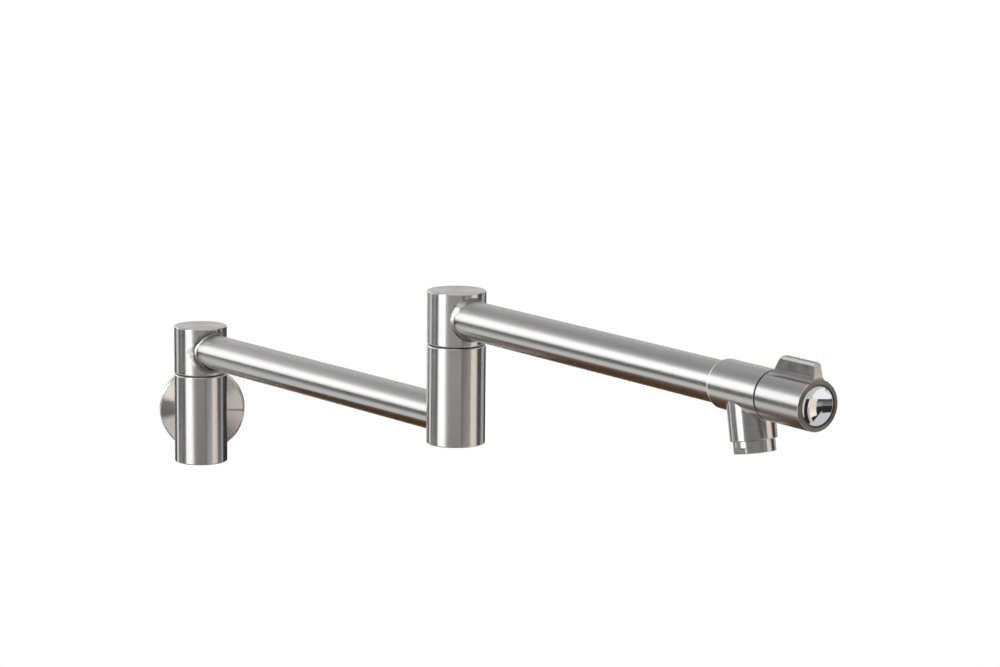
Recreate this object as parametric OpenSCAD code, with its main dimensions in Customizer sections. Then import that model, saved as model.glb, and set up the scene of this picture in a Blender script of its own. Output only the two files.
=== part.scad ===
// Wall mounted pot filler: a round plate and hub on the wall, two swinging arms of
// brushed steel tube, and at the end a quarter turn valve with a finned knob above a
// short spout. The model stands in the wall's frame: the origin is the centre of the
// inlet on the wall plane, -Y points out of the wall and +Z points up. Millimetres.

/* [Wall plate and inlet] */
// Diameter of the wall plate
rosette_d = 62; // [54:1:76]
// Depth of the wall plate, from the wall to its front face
rosette_depth = 9; // [8:0.5:10]
// Thickness of the wall plate's sheet
rosette_wall = 2; // [1.5:0.1:2.5]
// Rounding of the wall plate's front edge
rosette_edge = 1; // [0.5:0.1:1.4]
// Distance from the wall to the axis of the wall hub
wall_reach = 37; // [36:1:60]
// Outside diameter of the inlet thread, half inch or three quarter inch pipe
inlet_thread_d = 20.955; // [20.955, 26.441]
// Length of the inlet thread
inlet_thread_l = 16; // [12:1:22]
// Diameter of the neck between wall plate and hub
neck_d = 22; // [20:0.5:24]
// Diameter of the water way through the inlet
inlet_bore_d = 11; // [9:0.5:11.5]

/* [Hubs] */
// Diameter of both hubs
hub_d = 38; // [37:0.5:44]
// Height of the lower, fixed section of a hub
hub_low_h = 64.4; // [60:0.2:80]
// Height of the upper, turning section of a hub
hub_up_h = 34.5; // [34:0.5:42]
// Gap between the two sections
swivel_gap = 0.6; // [0.4:0.1:1]
// Rounding of the hubs' outer edges
hub_edge = 0.8; // [0.4:0.1:1.2]
// Wall of a hub around its swivel
hub_wall = 4; // [3.6:0.1:4.6]
// Depth of the swivel bore
swivel_depth = 24; // [22:1:28]

/* [Arms] */
// Outside diameter of the arm tubes
tube_d = 25; // [22:0.5:25.5]
// Wall of the arm tubes
tube_wall = 1.5; // [1:0.1:2]
// Distance of an arm's axis from the nearer end of a hub
arm_drop = 17; // [16.5:0.1:17.4]
// Length of the lower arm, from hub axis to hub axis
lower_arm_l = 305; // [220:5:420]
// Length of the upper arm, from the hub's axis to the valve body
upper_arm_l = 271.5; // [190:0.5:400]

/* [Valve and knob] */
// Diameter of the valve body and the knob
valve_d = 29; // [28.5:0.5:34]
// Length of the valve body
valve_l = 42.1; // [41:0.1:50]
// Length of the knob
knob_l = 37.4; // [36:0.1:44]
// Gap between valve body and knob
knob_gap = 0.5; // [0.4:0.1:0.8]
// Diameter of the polished dish in the knob's end
dish_d = 23.6; // [20:0.2:24.4]
// Depth of the polished dish
dish_depth = 3; // [1.5:0.1:3.6]

/* [Fin of the knob] */
// Height of the fin above the knob
fin_rise = 9.5; // [5:0.5:16]
// Thickness of the fin at its top
fin_top_t = 4.5; // [3:0.1:5]
// Thickness of the fin at its foot
fin_foot_t = 6; // [5:0.1:8]
// Radius of the blend between fin and knob
fin_blend = 4; // [2:0.5:5]

/* [Spout and aerator] */
// Diameter of the spout
spout_d = 27; // [26:0.5:28]
// Length of the spout, along its axis from the arm's axis
spout_l = 28.4; // [26:0.2:40]
// Forward lean of the spout, in degrees
spout_lean = 11.2; // [0:0.2:14]
// Diameter of the aerator housing
aerator_d = 24; // [23.4:0.1:24.6]
// Visible length of the aerator housing
aerator_l = 7.3; // [6.5:0.1:10]

/* [Pose at rest] */
// Swing of the lower arm from straight out of the wall, in degrees
lower_swing = 34.2; // [-90:0.1:90]
// Swing of the upper arm against the lower arm, in degrees
upper_swing = -3.1; // [-180:0.1:180]

/* [Hidden] */
$fn = 72;

// How far a cut runs past the surface that it opens
overrun = 1;
// Clearance between two pieces that are fixed together
seat_gap = 0.02;
// Radial clearance of a piece that turns or slides in another
run_gap = 0.05;
// Gap between faces that turn past each other
face_gap = 0.1;
// Steps in a rounded edge of a turned profile
edge_steps = 6;

// Sizes shared by both hubs, measured from the top face of the lower section
hub_r = hub_d / 2;
swivel_r = hub_r - hub_wall;
tube_r = tube_d / 2;
tube_bore_r = tube_r - tube_wall;
gap_edge = 1;
bush_t = 2;
spigot_r = swivel_r - bush_t;
land_r = swivel_r - face_gap;
spigot_wall = 3.5;
spigot_bore_r = spigot_r - spigot_wall;
chamber_r = tube_bore_r;
socket_land = 1;
socket_x = chamber_r + socket_land;
head_axis_z = swivel_gap + hub_up_h - arm_drop;
root_r_share = 0.97;
root_r = swivel_r * root_r_share;
root_h_share = 0.8;
root_h = (head_axis_z - swivel_gap - tube_r) * root_h_share;
bush_share = 0.3;
retainer_share = 0.4;
journal_share = 0.48;
seal_shares = [0.58, 0.77];
spigot_share = 0.88;
bush_h = swivel_depth * bush_share;
retainer_z = -swivel_depth * retainer_share;
journal_l = swivel_depth * journal_share;
spigot_l = swivel_depth * spigot_share;
swivel_cord = 2.9;
cord_play = 0.2;
retainer_cut = 0.8;
glide_step = 0.6;
glide_inset = gap_edge + glide_step;

// Plug at the bottom of a hub
plug_h = 6.2;
plug_cord = 2;
plug_key_af = 8;
plug_key_depth = 3.4;
plug_edge = 0.5;

// Grub screws: thread, point and key
grub_r = 2.5;
grub_tip_r = 1.25;
grub_recess = 0.4;
grub_key_af = 2.5;
grub_key_depth = 1.8;
grub_tip_gap = 0.3;

// Heights above the inlet's axis
wall_top_z = hub_low_h / 2;
lower_arm_z = wall_top_z + head_axis_z;
elbow_top_z = lower_arm_z - arm_drop + hub_low_h;

// Inlet, measured out of the wall
nipple_stand = 1;
nipple_hex_h = 5;
nipple_hex_land = 3;
nipple_hex_r = (inlet_thread_d / 2 + nipple_hex_land) / cos(30);
neck_r = neck_d / 2;
neck_wall = 2.4;
neck_bore_r = neck_r - neck_wall;
inlet_spigot_r = neck_bore_r - run_gap;
neck_foot = nipple_stand + nipple_hex_h;
inlet_spigot_end = wall_reach - hub_r - seat_gap;
inlet_spigot_l = inlet_spigot_end - neck_foot;
inlet_cord = 2;
inlet_seal_shares = [0.16, 0.86];
neck_screw_share = 0.52;
neck_screw_out = neck_foot + inlet_spigot_l * neck_screw_share;
rosette_slip = 0.25;
seal_w = 3;
seal_t = 2.5;
thread_lead = 0.8;
strainer_step = 1.2;
strainer_r = inlet_bore_d / 2 + strainer_step;
strainer_h = 2;
strainer_sheet = 0.8;
strainer_rim = 1.2;
strainer_hole_r = 0.6;
strainer_pitch = 2;
strainer_rings = 2;

// Valve body and cartridge, measured along the arm from the shoulder of the body
valve_r = valve_d / 2;
shoulder_l = 1.6;
shoulder_drop = 0.9;
valve_edge = 0.25;
tube_socket_l = 8;
port_l = 3.5;
port_r = 6;
valve_wall = 3.7;
valve_chamber_r = valve_r - valve_wall;
seat_x = tube_socket_l + port_l;
seat_seal_t = 1.6;
seat_seal_w = 3;
cartridge_x = seat_x + seat_seal_t;
cartridge_l = 18;
cartridge_end = cartridge_x + cartridge_l;
cartridge_r = valve_chamber_r - run_gap;
waist_t = 1.3;
waist_r = cartridge_r - waist_t;
cartridge_back_share = 0.13;
cartridge_front_share = 0.2;
cartridge_wall = 1.2;
cavity_r = waist_r - cartridge_wall;
back_wall = 1.5;
disc_t = 3;
disc_play = 0.1;
foot_t = 3.5;
fixed_disc_x = cartridge_x + back_wall + seat_gap;
moving_disc_x = fixed_disc_x + disc_t + run_gap;
foot_x = moving_disc_x + disc_t + seat_gap;
cavity_end = foot_x + foot_t + face_gap;
disc_hub_r = 2.2;
disc_web = 1.2;
disc_sector_deg = 76;
stem_r = 4.5;
stem_cord = 1.8;
window_r = 2.4;
nut_l = 8.4;
nut_thread_share = 0.55;
nut_bore_gap = 0.4;
nut_hex_share = 0.82;
drive_af = 6.2;
drive_back = 5.6;
drive_l = 11.4;
knob_x = valve_l + knob_gap;
drive_end = knob_x + drive_back + drive_l;
tap_l = 9;

// Knob, measured along the arm from its own rear face
knob_edge = 0.5;
knob_recess_r = valve_chamber_r + seat_gap;
knob_ring_in = 0.5;
knob_ring_out = 1.2;
screw_web = 3;
screw_r = 2;
screw_head_r = 3.6;
screw_head_h = 2.6;
screw_slip = 0.2;
screw_pocket_gap = 0.6;
screw_tip_gap = 1;
screw_key_af = 2.5;
screw_key_depth = 1.4;
screw_seat_x = drive_back + drive_l + screw_web;
cap_seat = 7.8;
cap_recess = 0.4;
cap_lip = 0.8;
cap_floor = 1.6;
cap_skirt = 2.2;
rim_chamfer = 0.35;
fin_rear = 3;
fin_slope = 5;
fin_front_lean = 1.4;
fin_corner = 1.4;
fin_rear_corner = 2.4;
fin_bevel_h = 1.5;
fin_bevel_w = 0.6;
fin_edge = 0.4;
fin_foot_curve = 1.6;
blend_sink = 0.03;

// Spout and aerator, measured down the spout from the arm's axis
spout_share = 0.5;
spout_x = valve_l * spout_share;
spout_r = spout_d / 2;
spout_edge = 0.5;
spout_bore_r = 8.5;
spout_port_r = 6.5;
aerator_r = aerator_d / 2;
aerator_shoulder = 1.2;
aerator_thread_r = aerator_r - aerator_shoulder;
aerator_thread_l = 6;
aerator_step = 0.3;
aerator_edge = 0.4;
aerator_wall = 2;
washer_t = 1.5;
washer_w = 2.6;
flat_share = 0.48;
flat_depth = 1.1;
lip_t = 0.9;
lip_w = 0.7;
insert_t = 4;
insert_rim = 1.2;
cell_r = 0.55;
cell_pitch = 1.9;
cell_rings = 3;
insert_floor = 1.4;

steel = [0.66, 0.65, 0.63];
steel_dark = [0.5, 0.49, 0.47];
polished = [0.86, 0.86, 0.87];
brass = [0.76, 0.62, 0.33];
rubber = [0.1, 0.1, 0.1];
nylon = [0.9, 0.89, 0.84];
ceramic = [0.93, 0.92, 0.88];

// Points of an arc about a centre, from one angle to another
function arc(c, r, from, to, steps = edge_steps) =
    [for (i = [0:steps]) let (a = from + (to - from) * i / steps) c + r * [cos(a), sin(a)]];

// Points that round the corner b between the points a and c with radius r
function rounded_corner(a, b, c, r, steps = edge_steps) =
    let (
        u = (a - b) / norm(a - b),
        v = (c - b) / norm(c - b),
        half = acos(u * v) / 2,
        centre = b + (u + v) / norm(u + v) * r / sin(half),
        p = b + u * r / tan(half) - centre,
        q = b + v * r / tan(half) - centre,
        from = atan2(p[1], p[0]),
        turn = atan2(q[1], q[0]) - from,
        sweep = turn > 180 ? turn - 360 : turn < -180 ? turn + 360 : turn
    )
    arc(centre, r, from, from + sweep, steps);

// Radii of a seal ring that touches a bore, and of the groove that holds it
function cord_mid_r(bore_r, cord) = bore_r - run_gap - cord / 2;
function cord_groove_r(bore_r, cord) = bore_r - run_gap - cord - seat_gap;

// A bar turned to radius r with rounded edges at both ends
module turned_bar(r, h, low, high) {
    rotate_extrude()
        polygon(concat(
            [[0, 0]],
            arc([r - low, low], low, -90, 0),
            arc([r - high, h - high], high, 0, 90),
            [[0, h]]
        ));
}

// A straight ring
module ring(r_out, r_in, h) {
    difference() {
        cylinder(r = r_out, h = h);
        translate([0, 0, -overrun])
            cylinder(r = r_in, h = h + 2 * overrun);
    }
}

// A round seal of cord diameter cord
module o_ring(mid_r, cord) {
    rotate_extrude()
        translate([mid_r, 0])
            circle(d = cord);
}

// The cut for a seal's groove, centred on z
module cord_groove(z, bore_r, cord) {
    w = cord + 2 * cord_play;
    translate([0, 0, z - w / 2])
        ring(bore_r + overrun, cord_groove_r(bore_r, cord), w);
}

// A hexagon prism across flats af, standing on its end
module hexagon(af, h) {
    cylinder(r = af / 2 / cos(30), h = h, $fn = 6);
}

// Places: out of the wall, on each hub's swivel plane, along each arm, down the spout
module out_of_wall() {
    rotate([90, 0, 0]) children();
}
module on_wall_hub() {
    translate([0, -wall_reach, wall_top_z]) children();
}
module on_lower_arm() {
    on_wall_hub()
        rotate([0, 0, lower_swing - 90]) children();
}
module on_elbow() {
    on_lower_arm()
        translate([lower_arm_l, 0, elbow_top_z - wall_top_z]) children();
}
module on_upper_arm() {
    on_elbow()
        rotate([0, 0, upper_swing]) children();
}
module along_x() {
    rotate([0, 90, 0]) children();
}
module on_valve() {
    on_upper_arm()
        translate([upper_arm_l, 0, head_axis_z])
            along_x() children();
}
module on_knob() {
    on_valve()
        translate([0, 0, knob_x]) children();
}
module on_spout() {
    on_upper_arm()
        translate([upper_arm_l + spout_x, 0, head_axis_z])
            rotate([0, 180 - spout_lean, 0]) children();
}

// Lower section of a hub, with its swivel bore and water chamber, below z = 0
module hub_section() {
    difference() {
        translate([0, 0, -hub_low_h])
            turned_bar(hub_r, hub_low_h, hub_edge, gap_edge);
        translate([0, 0, -swivel_depth])
            cylinder(r = swivel_r, h = swivel_depth + overrun);
        translate([0, 0, -hub_low_h - overrun])
            cylinder(r = chamber_r, h = hub_low_h);
        children();
    }
}

// Threaded hole for a grub screw that points at the hub's axis along x
module grub_hole() {
    translate([swivel_r - hub_wall / 2, 0, retainer_z])
        along_x()
            cylinder(r = grub_r + seat_gap, h = hub_wall + hub_wall / 2 + overrun);
}

// A grub screw that lies along x, from its point at tip_x to its key end at end_x
module grub_screw(tip_x, body_x, end_x) {
    along_x()
        difference() {
            union() {
                translate([0, 0, tip_x])
                    cylinder(r = grub_tip_r, h = end_x - tip_x - grub_key_depth);
                translate([0, 0, body_x])
                    cylinder(r = grub_r, h = end_x - body_x);
            }
            translate([0, 0, end_x - grub_key_depth])
                hexagon(grub_key_af, grub_key_depth + overrun);
        }
}

// The screw that keeps a pivot in its hub: its point runs in the pivot's groove
module retaining_screw() {
    translate([0, 0, retainer_z])
        grub_screw(
            spigot_r - retainer_cut + grub_tip_gap,
            swivel_r + grub_tip_gap,
            hub_r - grub_recess
        );
}

// Screwed plug with a key socket, flush with a hub's bottom
module hub_plug() {
    translate([0, 0, -hub_low_h])
        difference() {
            turned_bar(chamber_r - seat_gap, plug_h, plug_edge, plug_edge);
            cord_groove(plug_h / 2, chamber_r, plug_cord);
            translate([0, 0, -overrun])
                hexagon(plug_key_af, plug_key_depth + overrun);
        }
}
module plug_o_ring() {
    translate([0, 0, plug_h / 2 - hub_low_h])
        o_ring(cord_mid_r(chamber_r, plug_cord), plug_cord);
}

// Nylon bush in the mouth of the swivel bore
module hub_bush() {
    translate([0, 0, -bush_h])
        ring(swivel_r - seat_gap, spigot_r + run_gap, bush_h);
}

// Upper section of a hub: blind bore from below and a socket for the arm's tube
module head_section() {
    difference() {
        translate([0, 0, swivel_gap])
            turned_bar(hub_r, hub_up_h, gap_edge, hub_edge);
        translate([0, 0, swivel_gap - overrun])
            cylinder(r = root_r + seat_gap, h = root_h + overrun);
        translate([0, 0, swivel_gap])
            cylinder(r = spigot_bore_r, h = head_axis_z - swivel_gap);
        translate([0, 0, head_axis_z])
            along_x() {
                cylinder(r = tube_bore_r, h = socket_x + overrun);
                translate([0, 0, socket_x])
                    cylinder(r = tube_r + seat_gap, h = hub_r);
            }
    }
}

// Hollow pivot: its root is soldered into the head, its journal turns in the bush, and
// its land carries two seals
module pivot_spigot() {
    difference() {
        union() {
            translate([0, 0, swivel_gap])
                cylinder(r = root_r, h = root_h - seat_gap);
            translate([0, 0, -journal_l])
                cylinder(r = spigot_r, h = journal_l + swivel_gap);
            translate([0, 0, -spigot_l])
                cylinder(r = land_r, h = spigot_l - journal_l);
        }
        translate([0, 0, -spigot_l - overrun])
            cylinder(r = spigot_bore_r, h = spigot_l + hub_up_h);
        translate([0, 0, retainer_z - grub_tip_r - cord_play - grub_tip_gap])
            ring(
                spigot_r + overrun,
                spigot_r - retainer_cut,
                2 * (grub_tip_r + cord_play + grub_tip_gap)
            );
        for (share = seal_shares)
            cord_groove(-swivel_depth * share, swivel_r, swivel_cord);
    }
}
module pivot_o_rings() {
    for (share = seal_shares)
        translate([0, 0, -swivel_depth * share])
            o_ring(cord_mid_r(swivel_r, swivel_cord), swivel_cord);
}

// Dark washer in the gap between the sections, set back from the hub's surface
module glide_ring() {
    translate([0, 0, face_gap])
        ring(hub_r - glide_inset, spigot_r + seat_gap, swivel_gap - face_gap);
}

// Wall side
module wall_rosette() {
    color(steel)
        out_of_wall()
            difference() {
                turned_bar(rosette_d / 2, rosette_depth, 0, rosette_edge);
                translate([0, 0, -overrun])
                    cylinder(
                        r = rosette_d / 2 - rosette_wall,
                        h = rosette_depth - rosette_wall + overrun
                    );
                cylinder(r = neck_r + rosette_slip, h = rosette_depth + overrun);
            }
}
module rosette_seal() {
    seal_r = rosette_d / 2 - rosette_wall - seat_gap;
    color(rubber)
        out_of_wall()
            ring(seal_r, seal_r - seal_w, seal_t);
}
module inlet_nipple() {
    thread_r = inlet_thread_d / 2;
    color(brass)
        out_of_wall()
            difference() {
                union() {
                    translate([0, 0, nipple_stand - inlet_thread_l])
                        cylinder(r = thread_r, h = inlet_thread_l);
                    translate([0, 0, nipple_stand - inlet_thread_l - thread_lead])
                        cylinder(r1 = thread_r - thread_lead, r2 = thread_r, h = thread_lead);
                    translate([0, 0, nipple_stand])
                        cylinder(r = nipple_hex_r, h = nipple_hex_h, $fn = 6);
                    translate([0, 0, nipple_stand])
                        cylinder(r = inlet_spigot_r, h = inlet_spigot_end - nipple_stand);
                }
                translate([0, 0, -inlet_thread_l - overrun])
                    cylinder(
                        r = inlet_bore_d / 2,
                        h = inlet_thread_l + wall_reach
                    );
                translate([0, 0, nipple_stand - inlet_thread_l - thread_lead - overrun])
                    cylinder(r = strainer_r, h = thread_lead + strainer_h + overrun);
                for (share = inlet_seal_shares)
                    cord_groove(neck_foot + inlet_spigot_l * share, neck_bore_r, inlet_cord);
                translate([0, 0, neck_screw_out - grub_tip_r - cord_play])
                    ring(
                        inlet_spigot_r + overrun,
                        inlet_spigot_r - retainer_cut,
                        2 * (grub_tip_r + cord_play)
                    );
            }
}
module inlet_o_rings() {
    color(rubber)
        out_of_wall()
            for (share = inlet_seal_shares)
                translate([0, 0, neck_foot + inlet_spigot_l * share])
                    o_ring(cord_mid_r(neck_bore_r, inlet_cord), inlet_cord);
}
module inlet_strainer() {
    r = strainer_r - seat_gap;
    color(steel_dark)
        out_of_wall()
            translate([0, 0, nipple_stand - inlet_thread_l - thread_lead])
                difference() {
                    cylinder(r = r, h = thread_lead + strainer_h - seat_gap);
                    translate([0, 0, strainer_sheet])
                        cylinder(r = r - strainer_rim, h = thread_lead + strainer_h);
                    translate([0, 0, -overrun])
                        cylinder(r = strainer_hole_r, h = strainer_sheet + 2 * overrun);
                    for (k = [1:strainer_rings], i = [0:6 * k - 1])
                        rotate([0, 0, i * 60 / k])
                            translate([k * strainer_pitch, 0, -overrun])
                                cylinder(r = strainer_hole_r, h = strainer_sheet + 2 * overrun);
                }
}
module inlet_neck() {
    color(steel)
        difference() {
            out_of_wall()
                translate([0, 0, neck_foot + seat_gap])
                    ring(neck_r, neck_bore_r, wall_reach - neck_foot - seat_gap);
            on_wall_hub()
                translate([0, 0, -hub_low_h])
                    cylinder(r = hub_r + seat_gap, h = hub_low_h);
            neck_screw_place()
                along_x()
                    cylinder(r = grub_r + seat_gap, h = neck_r + overrun);
        }
}
module neck_screw_place() {
    translate([0, -neck_screw_out, 0])
        rotate([0, 90, 0]) children();
}
module neck_grub_screw() {
    color(steel_dark)
        neck_screw_place()
            grub_screw(
                inlet_spigot_r - retainer_cut + cord_play,
                neck_bore_r + cord_play,
                neck_r - grub_recess / 2
            );
}
module wall_hub_body() {
    color(steel)
        on_wall_hub()
            hub_section() {
                translate([0, 0, -wall_top_z])
                    rotate([-90, 0, 0])
                        cylinder(r = inlet_bore_d / 2, h = hub_r + overrun);
                rotate([0, 0, 90])
                    grub_hole();
            }
}
module wall_hub_plug() {
    color(steel)
        on_wall_hub()
            hub_plug();
}
module wall_plug_o_ring() {
    color(rubber)
        on_wall_hub()
            plug_o_ring();
}
module wall_hub_bush() {
    color(nylon)
        on_wall_hub()
            hub_bush();
}
module wall_grub_screw() {
    color(steel_dark)
        on_wall_hub()
            rotate([0, 0, 90])
                retaining_screw();
}

// Lower arm
module lower_head_shell() {
    color(steel)
        on_lower_arm()
            head_section();
}
module lower_pivot_spigot() {
    color(brass)
        on_lower_arm()
            pivot_spigot();
}
module lower_pivot_o_rings() {
    color(rubber)
        on_lower_arm()
            pivot_o_rings();
}
module lower_glide_ring() {
    color(rubber)
        on_lower_arm()
            glide_ring();
}
module lower_arm_tube() {
    color(steel)
        on_lower_arm()
            translate([socket_x + seat_gap, 0, head_axis_z])
                along_x()
                    ring(tube_r, tube_bore_r, lower_arm_l - 2 * (socket_x + seat_gap));
}
module elbow_hub_body() {
    color(steel)
        on_elbow()
            hub_section() {
                translate([0, 0, arm_drop - hub_low_h])
                    rotate([0, -90, 0]) {
                        cylinder(r = tube_bore_r, h = socket_x + overrun);
                        translate([0, 0, socket_x])
                            cylinder(r = tube_r + seat_gap, h = hub_r);
                    }
                rotate([0, 0, 90])
                    grub_hole();
            }
}
module elbow_hub_plug() {
    color(steel)
        on_elbow()
            hub_plug();
}
module elbow_plug_o_ring() {
    color(rubber)
        on_elbow()
            plug_o_ring();
}
module elbow_hub_bush() {
    color(nylon)
        on_elbow()
            hub_bush();
}
module elbow_grub_screw() {
    color(steel_dark)
        on_elbow()
            rotate([0, 0, 90])
                retaining_screw();
}

// Upper arm
module upper_head_shell() {
    color(steel)
        on_upper_arm()
            head_section();
}
module upper_pivot_spigot() {
    color(brass)
        on_upper_arm()
            pivot_spigot();
}
module upper_pivot_o_rings() {
    color(rubber)
        on_upper_arm()
            pivot_o_rings();
}
module upper_glide_ring() {
    color(rubber)
        on_upper_arm()
            glide_ring();
}
module upper_arm_tube() {
    color(steel)
        on_upper_arm()
            translate([socket_x + seat_gap, 0, head_axis_z])
                along_x()
                    ring(
                        tube_r,
                        tube_bore_r,
                        upper_arm_l + tube_socket_l - socket_x - 2 * seat_gap
                    );
}
// Valve body as turned from bar, with a long chamfer at its shoulder
module valve_turned() {
    rotate_extrude()
        polygon(concat(
            [[0, 0], [valve_r - shoulder_drop, 0], [valve_r, shoulder_l]],
            arc([valve_r - valve_edge, valve_l - valve_edge], valve_edge, 0, 90),
            [[0, valve_l]]
        ));
}
module valve_body() {
    color(steel)
        difference() {
            on_valve()
                valve_turned();
            on_valve() {
                translate([0, 0, -overrun])
                    cylinder(r = tube_r + seat_gap, h = tube_socket_l + overrun);
                cylinder(r = port_r, h = valve_l);
                translate([0, 0, seat_x])
                    cylinder(r = valve_chamber_r, h = valve_l);
            }
            on_spout()
                cylinder(r = spout_port_r, h = spout_l);
        }
}
module cartridge_seal() {
    seal_r = cartridge_r - face_gap;
    color(rubber)
        on_valve()
            translate([0, 0, seat_x])
                ring(seal_r, seal_r - seat_seal_w, seat_seal_t);
}

// Brass cartridge: a waisted case with side windows, a cavity for the discs and a neck
// for the spindle
module cartridge_body() {
    back = cartridge_l * cartridge_back_share;
    front = cartridge_l * cartridge_front_share;
    color(brass)
        on_valve()
            difference() {
                translate([0, 0, cartridge_x + seat_gap])
                    cylinder(r = cartridge_r, h = cartridge_l - seat_gap);
                translate([0, 0, cartridge_x + back])
                    ring(cartridge_r + overrun, waist_r, cartridge_l - back - front);
                translate([0, 0, cartridge_x])
                    cylinder(r = port_r, h = back_wall + overrun);
                translate([0, 0, cartridge_x + back_wall])
                    cylinder(r = cavity_r, h = cavity_end - cartridge_x - back_wall);
                cylinder(r = stem_r + run_gap, h = cartridge_end + overrun);
                translate([-cartridge_r - overrun, 0, moving_disc_x + disc_t + window_r / 2])
                    along_x()
                        cylinder(r = window_r, h = 2 * (cartridge_r + overrun));
            }
}

// One quarter turn disc: two opposite sectors let the water through
module ceramic_disc(r) {
    difference() {
        cylinder(r = r, h = disc_t);
        translate([0, 0, -overrun])
            linear_extrude(disc_t + 2 * overrun)
                intersection() {
                    difference() {
                        circle(r = r - disc_web);
                        circle(r = disc_hub_r);
                    }
                    for (side = [0, 180])
                        rotate([0, 0, side])
                            polygon([
                                [0, 0],
                                [r, r * tan(disc_sector_deg / 2)],
                                [r, -r * tan(disc_sector_deg / 2)]
                            ]);
                }
    }
}
module fixed_ceramic_disc() {
    color(ceramic)
        on_valve()
            translate([0, 0, fixed_disc_x])
                ceramic_disc(cavity_r - seat_gap);
}
module moving_ceramic_disc() {
    color(ceramic)
        on_valve()
            translate([0, 0, moving_disc_x])
                rotate([0, 0, 90])
                    ceramic_disc(cavity_r - disc_play);
}
module cartridge_nut() {
    thread_l = nut_l * nut_thread_share;
    nut_x = cartridge_end + seat_gap;
    color(brass)
        on_valve()
            difference() {
                union() {
                    translate([0, 0, nut_x])
                        cylinder(r = valve_chamber_r - seat_gap, h = thread_l);
                    translate([0, 0, nut_x])
                        hexagon(2 * valve_chamber_r * nut_hex_share, nut_l);
                }
                cylinder(r = stem_r + nut_bore_gap, h = valve_l);
            }
}
module knob_glide_ring() {
    color(rubber)
        on_valve()
            translate([0, 0, valve_l])
                ring(
                    valve_r - knob_ring_out,
                    valve_chamber_r + knob_ring_in,
                    knob_gap - face_gap
                );
}
module outlet_spout() {
    color(steel)
        difference() {
            on_spout()
                turned_bar(spout_r, spout_l, 0, spout_edge);
            on_spout() {
                cylinder(r = spout_bore_r, h = spout_l);
                translate([0, 0, spout_l - aerator_thread_l - washer_t])
                    cylinder(
                        r = aerator_thread_r + seat_gap,
                        h = aerator_thread_l + washer_t + overrun
                    );
            }
            on_valve()
                translate([0, 0, -overrun])
                    cylinder(r = valve_r + seat_gap, h = valve_l + knob_gap + overrun);
        }
}
module aerator_washer() {
    color(rubber)
        on_spout()
            translate([0, 0, spout_l - aerator_thread_l - washer_t])
                ring(aerator_thread_r, aerator_thread_r - washer_w, washer_t - seat_gap);
}

// Aerator housing: thread in the spout, then a collar with two key flats
module aerator_housing() {
    bore_r = aerator_thread_r - aerator_wall;
    flat_l = aerator_l * flat_share;
    color(steel)
        on_spout()
            translate([0, 0, spout_l])
                difference() {
                    union() {
                        translate([0, 0, -aerator_thread_l])
                            cylinder(r = aerator_thread_r, h = aerator_thread_l + aerator_step);
                        translate([0, 0, seat_gap])
                            turned_bar(
                                aerator_r,
                                aerator_l - seat_gap,
                                aerator_edge,
                                aerator_edge
                            );
                    }
                    translate([0, 0, -aerator_thread_l - overrun])
                        cylinder(r = bore_r, h = aerator_thread_l + aerator_l - lip_t + overrun);
                    cylinder(r = bore_r - lip_w, h = aerator_l + overrun);
                    for (side = [0, 180])
                        rotate([0, 0, side])
                            translate([-aerator_r, aerator_r - flat_depth, aerator_l - flat_l])
                                cube([2 * aerator_r, aerator_r, flat_l + overrun]);
                }
}

// Flow insert: a round grid of cells behind the aerator's lip
module aerator_insert() {
    r = aerator_thread_r - aerator_wall - seat_gap;
    color(nylon)
        on_spout()
            translate([0, 0, spout_l + aerator_l - lip_t - seat_gap - insert_t])
                difference() {
                    cylinder(r = r, h = insert_t);
                    translate([0, 0, -overrun])
                        cylinder(r = r - insert_rim, h = insert_t - insert_floor + overrun);
                    cylinder(r = cell_r, h = insert_t + overrun);
                    for (k = [1:cell_rings], i = [0:6 * k - 1])
                        rotate([0, 0, i * 60 / k])
                            translate([k * cell_pitch, 0, 0])
                                cylinder(r = cell_r, h = insert_t + overrun);
                }
}

// Outline of the fin seen from the side: x from the knob's rear face, y from its axis
function fin_side() =
    let (
        top = valve_r + fin_rise,
        foot = valve_r - blend_sink,
        front = [knob_l, foot],
        front_top = [knob_l - fin_front_lean, top],
        rear_top = [fin_rear + fin_slope, top],
        rear = [fin_rear, foot],
        rear_low = [knob_edge, foot]
    )
    concat(
        [[knob_l, valve_r / 2]],
        [front],
        rounded_corner(front, front_top, rear_top, fin_corner),
        rounded_corner(front_top, rear_top, rear, fin_rear_corner),
        rounded_corner(rear_top, rear, rear_low, fin_foot_curve),
        [[fin_rear, valve_r / 2]]
    );

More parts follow.
